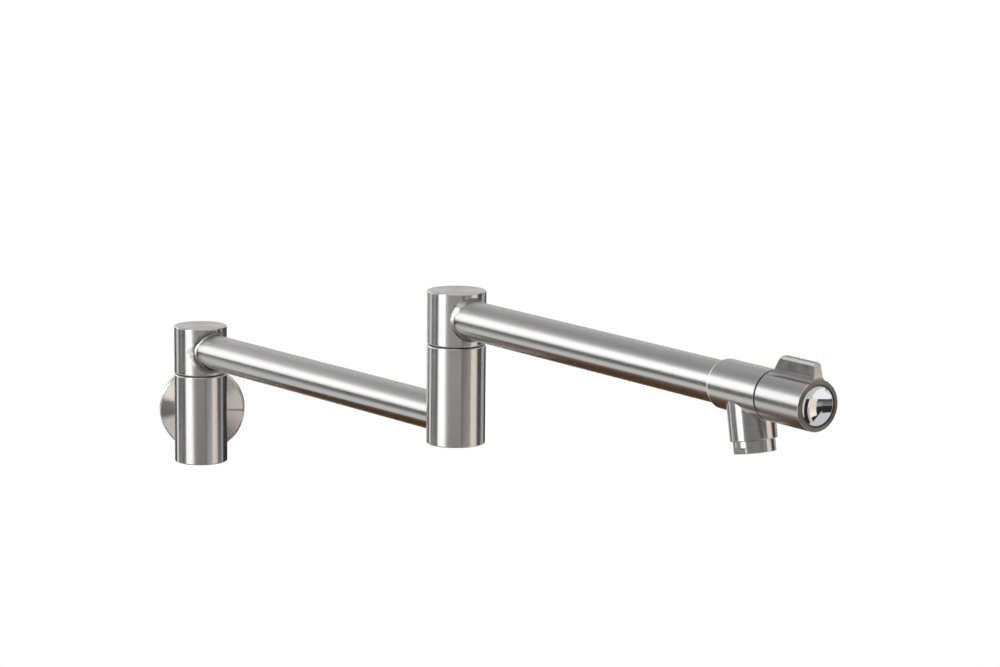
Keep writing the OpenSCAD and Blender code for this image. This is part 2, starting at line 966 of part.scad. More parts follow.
// The fin: its section across the knob, with a steep bevel at both upper edges, cut to
// its side outline
module fin() {
    top = valve_r + fin_rise;
    centre_y = fin_foot_t / 2 + fin_blend;
    centre_z = sqrt(pow(valve_r + fin_blend - blend_sink, 2) - pow(centre_y, 2));
    foot_r = valve_r / 2;
    intersection() {
        rotate([90, 0, 90])
            linear_extrude(knob_l)
                difference() {
                    polygon(concat(
                        [[-centre_y, foot_r], [centre_y, foot_r], [centre_y, centre_z]],
                        [[fin_foot_t / 2, centre_z]],
                        [[fin_top_t / 2, top - fin_bevel_h]],
                        rounded_corner(
                            [fin_top_t / 2, top - fin_bevel_h],
                            [fin_top_t / 2 - fin_bevel_w, top],
                            [0, top],
                            fin_edge
                        ),
                        rounded_corner(
                            [0, top],
                            [fin_bevel_w - fin_top_t / 2, top],
                            [-fin_top_t / 2, top - fin_bevel_h],
                            fin_edge
                        ),
                        [[-fin_top_t / 2, top - fin_bevel_h]],
                        [[-fin_foot_t / 2, centre_z], [-centre_y, centre_z]]
                    ));
                    for (side = [-1, 1])
                        translate([side * centre_y, centre_z])
                            circle(r = fin_blend);
                }
        translate([0, 2 * centre_y, 0])
            rotate([90, 0, 0])
                linear_extrude(4 * centre_y)
                    polygon(fin_side());
    }
}
module knob_turned() {
    turned_bar(valve_r, knob_l, valve_edge, knob_edge);
}
module lever_knob() {
    color(steel)
        difference() {
            union() {
                on_knob()
                    knob_turned();
                on_upper_arm()
                    translate([upper_arm_l + knob_x, 0, head_axis_z])
                        fin();
            }
            on_knob() {
                translate([0, 0, -overrun])
                    cylinder(r = knob_recess_r, h = drive_back + overrun);
                linear_extrude(drive_back + drive_l)
                    square(drive_af + 2 * seat_gap, center = true);
                cylinder(r = screw_r + screw_slip, h = knob_l);
                translate([0, 0, screw_seat_x])
                    cylinder(r = screw_head_r + screw_pocket_gap, h = knob_l);
                translate([0, 0, knob_l - cap_seat])
                    cylinder(r = dish_d / 2 + seat_gap, h = cap_seat + overrun);
            }
        }
}

// Polished end cap: a pressed cup with a hollow back and a dished face
module knob_end_cap() {
    r = dish_d / 2;
    h = cap_seat - seat_gap - cap_recess;
    mouth_r = r - cap_lip;
    ball_r = (mouth_r * mouth_r + dish_depth * dish_depth) / (2 * dish_depth);
    color(polished)
        on_knob()
            translate([0, 0, knob_l - cap_seat + seat_gap])
                difference() {
                    turned_bar(r, h, 0, rim_chamfer);
                    translate([0, 0, h - dish_depth + ball_r])
                        sphere(r = ball_r);
                    translate([0, 0, -overrun])
                        cylinder(
                            r = mouth_r - cap_skirt,
                            h = h - dish_depth - cap_floor + overrun
                        );
                }
}

// Spindle: a slotted foot behind the discs, a round stem with a seal, and a square end
module cartridge_spindle() {
    color(steel_dark)
        on_valve()
            difference() {
                union() {
                    translate([0, 0, foot_x])
                        cylinder(r = cavity_r - disc_play, h = foot_t);
                    translate([0, 0, foot_x])
                        cylinder(r = stem_r, h = knob_x + drive_back - foot_x);
                    translate([0, 0, foot_x])
                        linear_extrude(drive_end - foot_x - seat_gap)
                            square(drive_af, center = true);
                }
                translate([0, 0, foot_x + foot_t / 4])
                    cube([2 * cavity_r, 2 * disc_hub_r, foot_t], center = true);
                cord_groove((cavity_end + cartridge_end) / 2, stem_r + run_gap, stem_cord);
                translate([0, 0, drive_end - tap_l])
                    cylinder(r = screw_r + seat_gap, h = tap_l + overrun);
            }
}
module spindle_o_ring() {
    color(rubber)
        on_valve()
            translate([0, 0, (cavity_end + cartridge_end) / 2])
                o_ring(cord_mid_r(stem_r + run_gap, stem_cord), stem_cord);
}
module knob_screw() {
    color(steel_dark)
        on_knob()
            translate([0, 0, screw_seat_x + seat_gap])
                difference() {
                    union() {
                        cylinder(r = screw_head_r, h = screw_head_h);
                        translate([0, 0, screw_tip_gap - screw_web - tap_l])
                            cylinder(r = screw_r, h = screw_web + tap_l);
                    }
                    translate([0, 0, screw_head_h - screw_key_depth])
                        hexagon(screw_key_af, screw_head_h);
                }
}

wall_rosette();
rosette_seal();
inlet_nipple();
inlet_o_rings();
inlet_strainer();
inlet_neck();
neck_grub_screw();
wall_hub_body();
wall_hub_plug();
wall_plug_o_ring();
wall_hub_bush();
wall_grub_screw();
lower_head_shell();
lower_pivot_spigot();
lower_pivot_o_rings();
lower_glide_ring();
lower_arm_tube();
elbow_hub_body();
elbow_hub_plug();
elbow_plug_o_ring();
elbow_hub_bush();
elbow_grub_screw();
upper_head_shell();
upper_pivot_spigot();
upper_pivot_o_rings();
upper_glide_ring();
upper_arm_tube();
valve_body();
cartridge_seal();
cartridge_body();
fixed_ceramic_disc();
cartridge_nut();
knob_glide_ring();
outlet_spout();
aerator_washer();
aerator_housing();
aerator_insert();
lever_knob();
knob_end_cap();
cartridge_spindle();
spindle_o_ring();
moving_ceramic_disc();
knob_screw();
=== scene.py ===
import math

import bpy
import numpy as np
from mathutils import Matrix, Vector


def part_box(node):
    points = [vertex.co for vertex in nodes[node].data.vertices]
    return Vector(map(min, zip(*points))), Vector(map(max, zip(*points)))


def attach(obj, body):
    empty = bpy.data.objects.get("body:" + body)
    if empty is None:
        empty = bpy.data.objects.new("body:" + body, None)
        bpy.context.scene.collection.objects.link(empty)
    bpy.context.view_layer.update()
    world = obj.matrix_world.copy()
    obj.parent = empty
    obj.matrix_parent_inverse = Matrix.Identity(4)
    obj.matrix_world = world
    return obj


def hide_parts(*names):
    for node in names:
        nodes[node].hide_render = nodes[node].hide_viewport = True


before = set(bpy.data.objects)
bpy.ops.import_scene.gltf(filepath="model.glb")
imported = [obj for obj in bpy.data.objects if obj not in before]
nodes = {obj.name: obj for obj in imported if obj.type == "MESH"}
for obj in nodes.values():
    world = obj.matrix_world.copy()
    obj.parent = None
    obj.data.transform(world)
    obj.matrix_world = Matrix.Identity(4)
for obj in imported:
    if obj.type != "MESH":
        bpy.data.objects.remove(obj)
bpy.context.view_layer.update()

# Camera: it stands 2.2 m in front of the wall and a little above the filler, and looks
# down by ten degrees through a 108 mm lens on 36 mm film, as the photographer did.
camera_place = (0.0674, -2.1833, 0.4310)
yaw = 0.0696
pitch = 0.1703
roll = 0.0109
ahead = np.array([
    math.sin(yaw) * math.cos(pitch),
    math.cos(yaw) * math.cos(pitch),
    -math.sin(pitch),
])
level = np.array([math.cos(yaw), -math.sin(yaw), 0.0])
upright = np.cross(level, ahead)
frame_axes = np.eye(4)
frame_axes[:3, 0] = math.cos(roll) * level + math.sin(roll) * upright
frame_axes[:3, 1] = math.cos(roll) * upright - math.sin(roll) * level
frame_axes[:3, 2] = -ahead
frame_axes[:3, 3] = camera_place
camera = bpy.data.objects.new("camera", bpy.data.cameras.new("camera"))
camera.data.sensor_width = 36
camera.data.lens = 108
camera.matrix_world = Matrix(frame_axes.tolist())
bpy.context.scene.collection.objects.link(camera)
bpy.context.scene.camera = camera
bpy.context.scene.view_settings.view_transform = "Standard"

# Studio: a white room with a pale floor half a metre below the filler. Round it stand
# the panels that a photographer of bright metal uses: white boxes give the bands of
# light, and grey, buff and black panels between them give the metal its depth. Only
# reflections see the panels. A soft lamp from the upper left gives the shadow.
studio_middle = (0.15, -0.30)
floor_z = -0.50


def wire(tree, kind, inputs=None, **settings):
    """Puts one shader node in a tree. A socket given as an input is linked to it, and
    anything else is set as its value."""
    made = tree.nodes.new("ShaderNode" + kind)
    for name, value in settings.items():
        setattr(made, name, value)
    for key, value in (inputs or {}).items():
        if isinstance(value, bpy.types.NodeSocket):
            tree.links.new(value, made.inputs[key])
        else:
            made.inputs[key].default_value = (
                value.tolist() if isinstance(value, np.ndarray) else value
            )
    return made


def maths(tree, operation, *values):
    """One Math node's result."""
    return wire(tree, "Math", dict(enumerate(values)), operation=operation).outputs[0]


def mixed(tree, share, first, second):
    """A colour between two, by share."""
    return wire(tree, "Mix", {0: share, 6: first, 7: second}, data_type="RGBA").outputs[2]


def spread(tree, value, low, high, to_low, to_high):
    """A value's range carried to another range, and held at its ends."""
    return wire(tree, "MapRange", {0: value, 1: low, 2: high, 3: to_low, 4: to_high}).outputs[0]


def new_material(name):
    """An empty node material and its tree."""
    material = bpy.data.materials.new(name)
    material.use_nodes = True
    material.node_tree.nodes.clear()
    return material, material.node_tree


def shade(tree, kind, inputs):
    """Ends a material's tree with the shader that its surface shows."""
    wire(tree, "OutputMaterial", {"Surface": wire(tree, kind, inputs).outputs[0]})


def surface(name, points, material, close_rows=False, close_columns=False):
    """A smooth mesh over a grid of points, rows by columns by xyz. Each cell of the grid
    is one face, and closing joins the last row or column to the first one."""
    rows, columns = points.shape[:2]
    row, column = np.meshgrid(
        np.arange(rows if close_rows else rows - 1),
        np.arange(columns if close_columns else columns - 1),
        indexing="ij",
    )
    next_row = (row + 1) % rows
    next_column = (column + 1) % columns
    corners = np.stack([
        row * columns + column,
        row * columns + next_column,
        next_row * columns + next_column,
        next_row * columns + column,
    ], -1).reshape(-1, 4)
    mesh = bpy.data.meshes.new(name)
    mesh.vertices.add(rows * columns)
    mesh.vertices.foreach_set("co", points.astype(np.float32).ravel())
    mesh.loops.add(corners.size)
    mesh.loops.foreach_set("vertex_index", corners.astype(np.int32).ravel())
    mesh.polygons.add(len(corners))
    mesh.polygons.foreach_set("loop_start", np.arange(0, corners.size, 4, dtype=np.int32))
    mesh.polygons.foreach_set("use_smooth", np.ones(len(corners), bool))
    mesh.update(calc_edges=True)
    mesh.materials.append(material)
    made = bpy.data.objects.new(name, mesh)
    bpy.context.scene.collection.objects.link(made)
    return made


def reflected_only(piece):
    """Keeps a stage piece out of every ray but the reflected ones."""
    for kind in ("camera", "diffuse", "transmission", "volume_scatter", "shadow"):
        setattr(piece, "visible_" + kind, False)


def panel(name, start, end, low, high, below, above=None, fade=None, reach=1.6):
    """A curved panel. Its angle runs from start to end degrees, from straight in front
    of the wall towards the right, at the distance reach from the studio's middle, and
    its height from low to high, which may each be a pair for its start and end. Its
    light goes from the colour below to that above, over the heights in fade."""
    steps = 25
    angle = np.radians(np.linspace(start, end, steps))[:, None] * np.ones(2)
    edges = [
        np.linspace(*edge, steps) if isinstance(edge, tuple) else np.full(steps, edge)
        for edge in (low, high)
    ]
    points = np.stack([
        studio_middle[0] + reach * np.sin(angle),
        studio_middle[1] - reach * np.cos(angle),
        np.stack(edges, -1),
    ], -1)
    material, tree = new_material(name)
    tone = (*below, 1)
    if above:
        place = wire(tree, "SeparateXYZ", {0: wire(tree, "TexCoord").outputs["Object"]}).outputs
        tone = mixed(tree, spread(tree, place["Z"], *fade, 0, 1), tone, (*above, 1))
    shade(tree, "Emission", {"Color": tone})
    reflected_only(surface(name, points, material))


def seen_directly(tree):
    """One for the rays that see the room itself, from the camera, reflected or refracted."""
    path = wire(tree, "LightPath").outputs
    camera_or_glossy = maths(tree, "MAXIMUM", path["Is Camera Ray"], path["Is Glossy Ray"])
    return maths(tree, "MAXIMUM", camera_or_glossy, path["Is Transmission Ray"])


room = bpy.data.worlds.new("white_room")
room.use_nodes = True
tree = room.node_tree
tree.nodes.clear()
room_light = wire(tree, "Background", {
    "Color": (1, 1, 1, 1),
    "Strength": spread(tree, seen_directly(tree), 0, 1, 0.75, 1.0),
})
wire(tree, "OutputWorld", {"Surface": room_light.outputs[0]})
bpy.context.scene.world = room

material, tree = new_material("floor_paint")
speckle = wire(tree, "TexNoise", {"Scale": 40.0, "Detail": 4.0}).outputs["Fac"]
shade(tree, "BsdfDiffuse", {
    "Color": mixed(tree, speckle, (0.84, 0.84, 0.835, 1), (0.88, 0.88, 0.875, 1)),
})
across, away = np.meshgrid(np.linspace(-3.0, 2.1, 8), np.linspace(-2.2, 0.95, 8))
floor = surface("floor", np.stack([across, away, np.full_like(across, floor_z)], -1), material)

white = (1.72, 1.72, 1.74)
black = (0.03, 0.028, 0.026)

# On the left stands the white box that draws the bright band down each hub.
panel("left_box", -77, -48, -0.6, 1.1, white)
panel("left_foot", -48, -40, -0.6, -0.32, (2.4, 2.4, 2.42))
panel("left_lamp", -64, -48, 0.15, 0.55, (7.0, 7.0, 7.0), reach=1.58)
panel("left_flag", -95, -79, -0.6, (0.04, 0.44), black)

# Further round on the left, a high white box over black flags gives the tubes, the
# valve body and the knob their band of light and the dark lines below it.
panel("edge_flag", -101, -95, -0.6, -0.02, black)
panel("middle_flag", -112, -101, (-0.33, -0.46), (0.22, 0.08), black)
panel("side_flag", -155, -112, -0.6, -0.045, black)
panel("side_strip", -132, -120, -0.55, -0.14, (1.1, 1.1, 1.1), reach=1.58)
panel("side_box", -155, -79, -0.6, 2.75, (1.64, 1.64, 1.66), reach=6.0)
panel("far_screen", -155, -79, 2.75, 7.0, (0.58, 0.58, 0.59), reach=6.0)
panel(
    "side_screen", -155, -79, 1.10, 2.6,
    (0.44, 0.44, 0.45), (0.31, 0.31, 0.315), (1.10, 1.5),
)

# In front hang curtains that darken towards the floor, with black and grey above them.
panel(
    "front_curtain", -48, 18, -0.6, -0.04,
    (0.05, 0.030, 0.015), (0.80, 0.79, 0.775), (-0.41, -0.24), 1.62,
)
panel(
    "middle_curtain", 18, 42, -0.6, -0.04,
    (0.09, 0.075, 0.06), (0.26, 0.24, 0.22), (-0.42, -0.14), 1.62,
)
panel(
    "corner_curtain", 42, 57, -0.6, -0.04,
    (0.09, 0.075, 0.06), (0.44, 0.42, 0.39), (-0.38, -0.18), 1.62,
)
panel("front_dark", -78, 42, -0.04, (0.50, 0.36), black, reach=1.62)
panel("corner_dark", 42, 57, -0.04, (0.24, 0.50), black, reach=1.61)
panel("board_top", 57, 76, 0.33, (0.50, 0.66), black, reach=1.61)
panel("front_screen", -78, 108, 0.10, 2.6, (0.74, 0.74, 0.75), reach=1.64)

# On the right stands the buff board of each hub's second band, with its darker edges.
panel("right_board", 57, 85, -0.6, 0.40, (1.04, 0.93, 0.80), (1.28, 1.15, 0.99), (0.0, 0.25))
panel("right_mid", 79, 87, -0.10, 0.45, (0.60, 0.58, 0.64), reach=1.59)
panel("right_flag", 86, 112, -0.6, 0.55, black)
panel("right_screen", 112, 133, -0.6, 1.1, (0.50, 0.49, 0.48))

# Behind, grey screens and black flags give the sides that face away from the camera.
panel(
    "back_screen", 128, 205, -0.6, 2.6,
    (0.68, 0.655, 0.63), (0.36, 0.36, 0.365), (0.95, 1.55), 1.7,
)
panel("back_dark", 140, 180, -0.6, 0.0, black)
panel("back_flag", 134, 158, -0.4, 0.06, black, reach=0.85)


def floor_card(name, centre, radii, colour):
    """An oval card that lies on the floor, given by its centre and its two radii."""
    angle, share = np.meshgrid(
        np.linspace(0, 2 * np.pi, 48, endpoint=False), np.linspace(1.0, 0.0, 3), indexing="ij"
    )
    points = np.stack([
        centre[0] + radii[0] * share * np.cos(angle),
        centre[1] + radii[1] * share * np.sin(angle),
        np.full_like(angle, floor_z + 0.01),
    ], -1)
    material, tree = new_material(name)
    shade(tree, "Emission", {"Color": (*colour, 1)})
    reflected_only(surface(name, points, material, close_rows=True))


# Dark mats on the floor brown the undersides, and a white card fills the knob's dish.
floor_card("brown_mat", (0.08, 0.26), (0.66, 0.62), (0.085, 0.038, 0.010))
floor_card("front_mat", (0.05, -1.35), (0.62, 0.65), (0.13, 0.09, 0.065))
floor_card("corner_mat", (0.50, -0.95), (0.28, 0.45), (0.12, 0.09, 0.07))
floor_card("front_card", (1.22, -1.20), (0.62, 0.62), (1.15, 1.15, 1.15))

lamp = bpy.data.objects.new("soft_lamp", bpy.data.lights.new("soft_lamp", "AREA"))
lamp.data.size = 1.2
lamp.data.energy = 14
lamp_place = Vector((-1.1, -1.7, 1.5))
lamp_aim = (Vector((*studio_middle, 0.0)) - lamp_place).to_track_quat("-Z", "Y")
lamp.matrix_world = Matrix.Translation(lamp_place) @ lamp_aim.to_matrix().to_4x4()
lamp.visible_glossy = False
lamp.visible_camera = False
bpy.context.scene.collection.objects.link(lamp)

# Wall plate: a shallow cup spun from brushed stainless sheet, which slides over the neck
# and covers the hole in the wall. In some sectors a pale buff highlight is painted into
# its colour, for the bright wedges of light that its turned face reflects, and there it
# is also rougher.


def middle(name):
    """Centre of a CAD node's box."""
    low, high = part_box(name)
    return np.array((low + high) / 2)


def dress(material, *names):
    """Gives CAD nodes their material."""
    for name in names:
        nodes[name].material_slots[0].material = material


def new_group(name, inputs, outputs):
    """An empty shader group with its sockets, and its input and output nodes."""
    group = bpy.data.node_groups.new(name, "ShaderNodeTree")
    for side, sockets in (("INPUT", inputs), ("OUTPUT", outputs)):
        for title, kind in sockets:
            group.interface.new_socket(title, in_out=side, socket_type="NodeSocket" + kind)
    given = group.nodes.new("NodeGroupInput").outputs
    result = group.nodes.new("NodeGroupOutput").inputs
    return group, given, result


def vectors(tree, operation, *values, output=0):
    """One Vector Math node's result."""
    return wire(tree, "VectorMath", dict(enumerate(values)), operation=operation).outputs[output]


def scaled(tree, vector, factor):
    """A vector times a number."""
    return wire(tree, "VectorMath", {0: vector, "Scale": factor}, operation="SCALE").outputs[0]


def spot_from(tree, centre):
    """The surface's place, seen from a centre."""
    return vectors(tree, "SUBTRACT", wire(tree, "TexCoord").outputs["Object"], centre)


def height_along(tree, centre, axis):
    """The surface's height along an axis, above its centre."""
    return vectors(tree, "DOT_PRODUCT", spot_from(tree, centre), axis, output=1)


def outward_from(tree, centre, axis):
    """The way from the nearest point of an axis to the surface."""
    foot = scaled(tree, axis, height_along(tree, centre, axis))
    return vectors(tree, "SUBTRACT", spot_from(tree, centre), foot)


def distance_from(tree, centre, axis):
    """The surface's distance from an axis."""
    return vectors(tree, "LENGTH", outward_from(tree, centre, axis), output=1)


# Lines of a turned or belted piece. The height along the axis plus a share of the
# distance from it is one number that stays the same round a line. Noise over that number
# and over the way round, drawn out, gives fine lines that run round the piece, and
# broader ones.
turning, given, result = new_group(
    "turning_lines",
    (("Centre", "Vector"), ("Axis", "Vector"), ("Line Width", "Float"), ("Line Length", "Float")),
    (("Fine", "Float"), ("Broad", "Float"), ("Height", "Float")),
)
outward = outward_from(turning, given["Centre"], given["Axis"])
distance = vectors(turning, "LENGTH", outward, output=1)
height = height_along(turning, given["Centre"], given["Axis"])
line_place = maths(turning, "MULTIPLY_ADD", distance, 0.73, height)
drawn_out = scaled(
    turning,
    vectors(turning, "NORMALIZE", outward),
    maths(turning, "DIVIDE", distance, given["Line Length"]),
)


def line_noise(widths, detail):
    """Noise that makes lines of so many line widths."""
    width = maths(turning, "MULTIPLY", given["Line Width"], widths)
    step = scaled(turning, given["Axis"], maths(turning, "DIVIDE", line_place, width))
    return wire(turning, "TexNoise", {
        "Vector": vectors(turning, "ADD", drawn_out, step),
        "Scale": 1.0,
        "Detail": detail,
        "Roughness": 0.6,
    }).outputs["Fac"]


fine = line_noise(1.0, 2.0)
broad = line_noise(7.0, 3.0)
turning.links.new(fine, result["Fine"])
turning.links.new(broad, result["Broad"])
turning.links.new(maths(turning, "MULTIPLY_ADD", broad, 0.5, fine), result["Height"])

# Handling marks: faint cloudy patches of skin grease and dried water.
handling, given, result = new_group(
    "handling_marks", (("Patch Size", "Float"),), (("Patches", "Float"),)
)
place = wire(handling, "TexCoord").outputs["Object"]
cloud = wire(handling, "TexNoise", {
    "Vector": scaled(handling, place, maths(handling, "DIVIDE", 1.0, given["Patch Size"])),
    "Scale": 1.0,
    "Detail": 4.0,
    "Roughness": 0.62,
    "Distortion": 0.6,
})
handling.links.new(spread(handling, cloud.outputs["Fac"], 0.35, 0.7, 0, 1), result["Patches"])


def lines_round(tree, centre, axis, width, length):
    """Turning lines of a width and a length, placed in a material."""
    return wire(tree, "Group", {
        "Centre": centre, "Axis": axis, "Line Width": width, "Line Length": length,
    }, node_tree=turning).outputs


def patches(tree, size):
    """Handling marks of a size, placed in a material."""
    return wire(tree, "Group", {"Patch Size": size}, node_tree=handling).outputs["Patches"]


def brushed_steel(
    name, centre, axis, rough=0.22, stretch=0.8, painted_light=None, dulling=0.12, haze=0.0
):
    """Brushed stainless steel, turned about an axis through centre. The gloss is drawn
    out across the lines: that direction is the normal crossed with the way round. A
    painted light is a function of the tree that gives the mask of a part where light or
    shade is painted into the colour, the painted colour, and how deep its waves are.
    There the steel is rougher by the amount of dulling, and haze is the share of its
    shine that gives way to the painted colour."""
    material, tree = new_material(name)
    lines = lines_round(tree, centre, axis, 0.00013, 0.006)
    grease = patches(tree, 0.03)
    tone = mixed(tree, lines["Fine"], (0.58, 0.57, 0.555, 1), (0.67, 0.662, 0.65, 1))
    tone = mixed(tree, maths(tree, "MULTIPLY", grease, 0.25), tone, (0.60, 0.58, 0.56, 1))
    streaks = spread(tree, lines["Broad"], 0.3, 0.7, rough - 0.02, rough + 0.02)
    roughness = maths(tree, "MULTIPLY_ADD", grease, 0.025, streaks)
    shine = 1.0
    relief = wire(tree, "Bump", {
        "Strength": 0.6, "Distance": 0.0000025, "Height": lines["Height"],
    }).outputs[0]
    # A painted light's mask paints light or shade into the steel's colour.
    if painted_light:
        mask, painted_tone, wave_depth = painted_light(tree)
        tone = mixed(tree, mask, tone, painted_tone)
        roughness = maths(tree, "MULTIPLY_ADD", mask, dulling, roughness)
        if haze:
            shine = maths(tree, "MULTIPLY_ADD", mask, -haze, 1.0)
        if wave_depth:
            relief = wire(tree, "Bump", {
                "Strength": 1.0,
                "Distance": wave_depth,
                "Height": maths(tree, "MULTIPLY", mask, grease),
                "Normal": relief,
            }).outputs[0]
    way_round = vectors(tree, "CROSS_PRODUCT", axis, spot_from(tree, centre))
    # A trace of the axis keeps the way round from vanishing where a face meets the axis.
    way_round = vectors(tree, "ADD", way_round, 0.0004 * axis)
    normal = wire(tree, "TexCoord").outputs["Normal"]
    across = wire(
        tree,
        "VectorTransform",
        {"Vector": vectors(tree, "CROSS_PRODUCT", normal, way_round)},
        vector_type="VECTOR",
        convert_from="OBJECT",
        convert_to="WORLD",
    ).outputs[0]
    shade(tree, "BsdfPrincipled", {
        "Base Color": tone,
        "Metallic": shine,
        "Roughness": roughness,
        "Anisotropic": stretch,
        "Tangent": across,
        "Normal": relief,
    })
    return material


inlet = np.zeros(3)
out_of_wall = np.array([0.0, -1.0, 0.0])
plate_face_r = 0.0296


def painted_wedge_highlight(tree):
    """Mask and colour of the plate's painted highlight, pale buff in some sectors. A ramp
    over the angle gives its strength, from nine o'clock through six and three and back to
    nine. It is left out at nine, at three, in two sectors next to it, and on the rounded
    rim."""
    place = wire(tree, "TexCoord").outputs["Object"]
    parts = wire(tree, "SeparateXYZ", {0: place}).outputs
    angle = maths(tree, "ARCTAN2", parts["Z"], parts["X"])
    sectors = wire(tree, "ValToRGB", {0: spread(tree, angle, -math.pi, math.pi, 0, 1)})
    stops = sectors.color_ramp.elements
    for stop in stops:
        stop.color = (0, 0, 0, 1)
    for share, highlight in (
        (0.025, 0.0), (0.055, 0.6), (0.30, 0.7), (0.36, 0.05), (0.42, 0.6),
        (0.488, 0.85), (0.496, 0.0), (0.504, 1.0), (0.57, 1.0), (0.62, 0.1),
        (0.82, 0.7), (0.90, 1.0), (0.94, 0.95), (0.965, 0.0),
    ):
        stops.new(share).color = (highlight, highlight, highlight, 1)
    distance = distance_from(tree, inlet, out_of_wall)
    inside_rim = spread(tree, distance, plate_face_r, plate_face_r + 0.0005, 1, 0)
    mask = maths(tree, "MULTIPLY", sectors.outputs[0], inside_rim)
    # Pale buff: the painted highlight of the bright wedges.
    return mask, (0.95, 0.885, 0.80, 1), 0.0


plate_steel = brushed_steel(
    "wall_plate_steel", inlet, out_of_wall,
    rough=0.13, stretch=0.97, painted_light=painted_wedge_highlight, dulling=0.35, haze=0.86,
)
dress(plate_steel, "wall_rosette")

# Rubber ring in the plate's back: pressed black nitrile rubber that seals against the
# wall. Every seal of the filler is the same rubber.


def moulded_rubber(name, colour=(0.018, 0.018, 0.019)):
    """Black rubber or filled nylon, with the fine pitted skin of its mould and a bloom of
    grey dust."""
    material, tree = new_material(name)
    place = wire(tree, "TexCoord").outputs["Object"]
    skin = wire(tree, "TexNoise", {"Vector": place, "Scale": 2600.0, "Detail": 3.0})
    dust = patches(tree, 0.009)
    bloom = maths(tree, "MULTIPLY", dust, 0.35)
    relief = wire(tree, "Bump", {
        "Strength": 0.4, "Distance": 0.00001, "Height": skin.outputs["Fac"],
    })
    shade(tree, "BsdfPrincipled", {
        "Base Color": mixed(tree, bloom, (*colour, 1), (0.05, 0.049, 0.047, 1)),
        "Roughness": spread(tree, dust, 0, 1, 0.5, 0.66),
        "Normal": relief.outputs[0],
    })
    return material


dress(
    moulded_rubber("nitrile_rubber"),
    "rosette_seal", "inlet_o_rings", "wall_plug_o_ring", "lower_pivot_o_rings",
    "elbow_plug_o_ring", "upper_pivot_o_rings", "cartridge_seal", "aerator_washer",
    "spindle_o_ring",
)

# Inlet union: turned from hexagon brass bar. Its half inch pipe thread screws into the
# outlet in the wall, and the smooth spigot in front of the hexagon carries the neck.
# Heights run out of the wall, from the union's place on the wall's face.
thread_pitch = 0.001814
thread_depth = 0.00116
thread_r = 0.0104775
thread_start = -0.0158
thread_end = 0.001
thread_margin = 0.0002
hexagon_r = 0.01167
hexagon_end = 0.006
spigot_r = 0.00855
spigot_tip = 0.01798
bore_r = 0.0055
pocket_r = 0.0067
pocket_floor = -0.0130


def turned_brass(name, centre, axis):
    """Machined brass: bright turning lines and a light brown tarnish in patches."""
    material, tree = new_material(name)
    lines = lines_round(tree, centre, axis, 0.0001, 0.02)
    clouds = patches(tree, 0.008)
    tone = mixed(tree, lines["Fine"], (0.70, 0.49, 0.22, 1), (0.82, 0.62, 0.32, 1))
    tarnish = maths(tree, "MULTIPLY", clouds, 0.4)
    relief = wire(tree, "Bump", {
        "Strength": 0.5, "Distance": 0.000003, "Height": lines["Height"],
    })
    shade(tree, "BsdfPrincipled", {
        "Base Color": mixed(tree, tarnish, tone, (0.50, 0.33, 0.14, 1)),
        "Metallic": 1.0,
        "Roughness": spread(tree, clouds, 0, 1, 0.24, 0.38),
        "Normal": relief.outputs[0],
    })
    return material


# The hexagon's radius is that of its flats over the cosine of the angle from the middle
# of the nearest flat.
turn = np.linspace(0, 2 * np.pi, 120, endpoint=False)
flats = hexagon_r / np.cos((turn + np.pi / 6) % (np.pi / 3) - np.pi / 6)
smooth = np.ones_like(turn)


def thread_rows(z):
    """Radius of the thread at heights z, for all angles. The ridge is a raised cosine of
    the height in pitches less the share of a turn, cut flat at its crest, so it climbs
    one pitch in each turn. It fades out at both ends of the thread."""
    ridge = 0.5 - 0.5 * np.cos(2 * np.pi * (z[:, None] / thread_pitch - turn / (2 * np.pi)))
    run_out = np.clip((thread_end - thread_margin - z) / thread_pitch, 0, 1)[:, None]
    lead = np.clip((z - thread_start) / thread_pitch, 0, 1)[:, None]
    groove = thread_depth * (1 - np.clip(1.25 * ridge, 0, 1) * lead) * run_out
    return thread_r - groove


# The union's profile is carried round its axis: each row is a height with the radius
# for all angles, from the pocket over the thread, the hexagon and the spigot to the bore.
thread_z = np.linspace(thread_start, thread_end, 150)
profile = [
    (pocket_floor, bore_r * smooth),
    (pocket_floor, pocket_r * smooth),
    (thread_start, pocket_r * smooth),
    *zip(thread_z, thread_rows(thread_z)),
    (thread_end, flats),
    (hexagon_end, flats),
    (hexagon_end, spigot_r * smooth),
    (spigot_tip, spigot_r * smooth),
    (spigot_tip, bore_r * smooth),
]
radius = np.array([r for z, r in profile])
out = np.array([z for z, r in profile])[:, None] * smooth
union = surface(
    "inlet_union",
    np.stack([radius * np.sin(turn), -out, radius * np.cos(turn)], -1),
    turned_brass("union_brass", inlet, out_of_wall),
    close_rows=True,
    close_columns=True,
)
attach(union, "wall_mount")
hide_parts("inlet_nipple")

# Strainer and set screws: the strainer is punched stainless sheet, the screws are
# blackened steel. One screw locks the neck on the union and one holds each pivot.


def dark_steel(name, tone, rough):
    """Steel with a thin oxide skin, worn a little lighter in patches."""
    material, tree = new_material(name)
    wear = patches(tree, 0.004)
    pale = tuple(1.5 * channel for channel in tone)
    shade(tree, "BsdfPrincipled", {
        "Base Color": mixed(tree, wear, (*tone, 1), (*pale, 1)),
        "Metallic": 1.0,
        "Roughness": spread(tree, wear, 0, 1, rough, rough + 0.12),
    })
    return material


dress(dark_steel("strainer_steel", (0.42, 0.41, 0.40), 0.3), "inlet_strainer")
dress(
    dark_steel("screw_steel", (0.10, 0.10, 0.105), 0.34),
    "neck_grub_screw", "wall_grub_screw", "elbow_grub_screw", "knob_screw",
)

# Neck: a short piece of thick brushed tube. It slides over the union's seals and is
# brazed to the back of the wall hub.
dress(brushed_steel("neck_steel", inlet, out_of_wall), "inlet_neck")

